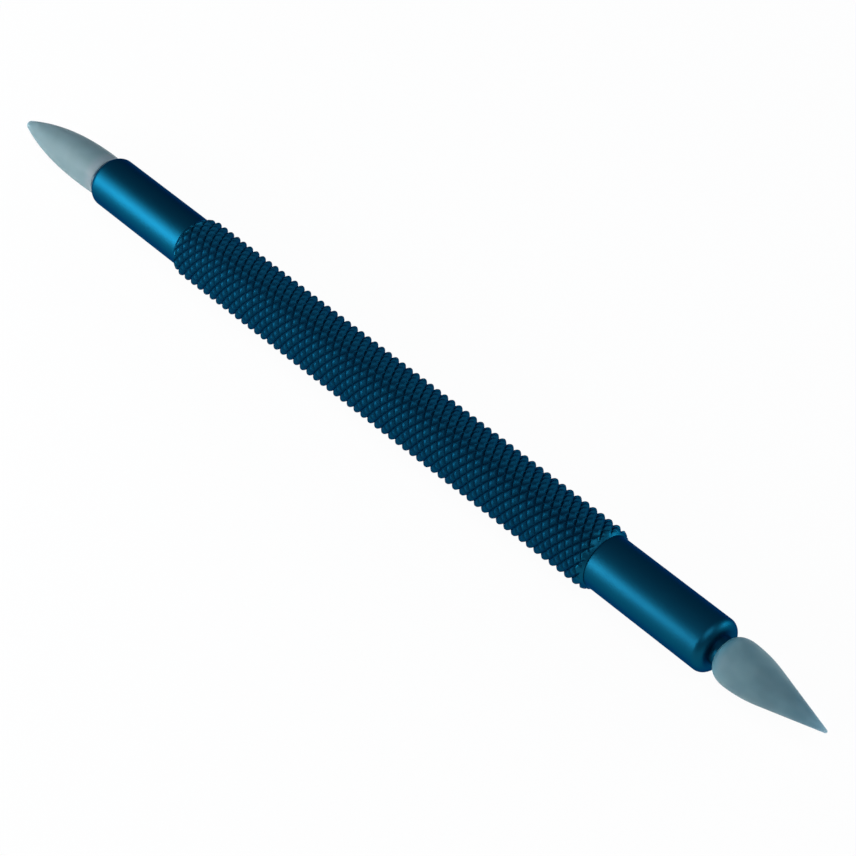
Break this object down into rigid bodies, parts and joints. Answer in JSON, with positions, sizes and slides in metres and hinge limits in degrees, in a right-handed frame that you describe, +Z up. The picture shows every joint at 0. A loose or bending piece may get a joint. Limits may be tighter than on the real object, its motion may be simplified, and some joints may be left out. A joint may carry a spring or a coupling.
{
  "type": "double-ended soft-tip hand tool",
  "caption": "Slim knurled metal handle with a soft translucent tip on each end: a pointed teardrop and a rounded, slightly bent bullet.",
  "frame": {"origin": "on the ground below the handle's axis, halfway between the two points of the tool", "axes": "+X along the handle towards the teardrop tip, +Z up; the tool lies on its knurl"},
  "size_m": [0.1673, 0.0096, 0.0095],
  "materials": {
    "handle": "satin blue anodised",
    "front_tip": "matt translucent silicone",
    "rear_tip": "matt translucent silicone"
  },
  "bodies": {
    "root": {"handle": "handle", "front_tip": "front_tip", "rear_tip": "rear_tip"}
  },
  "joints": []
}
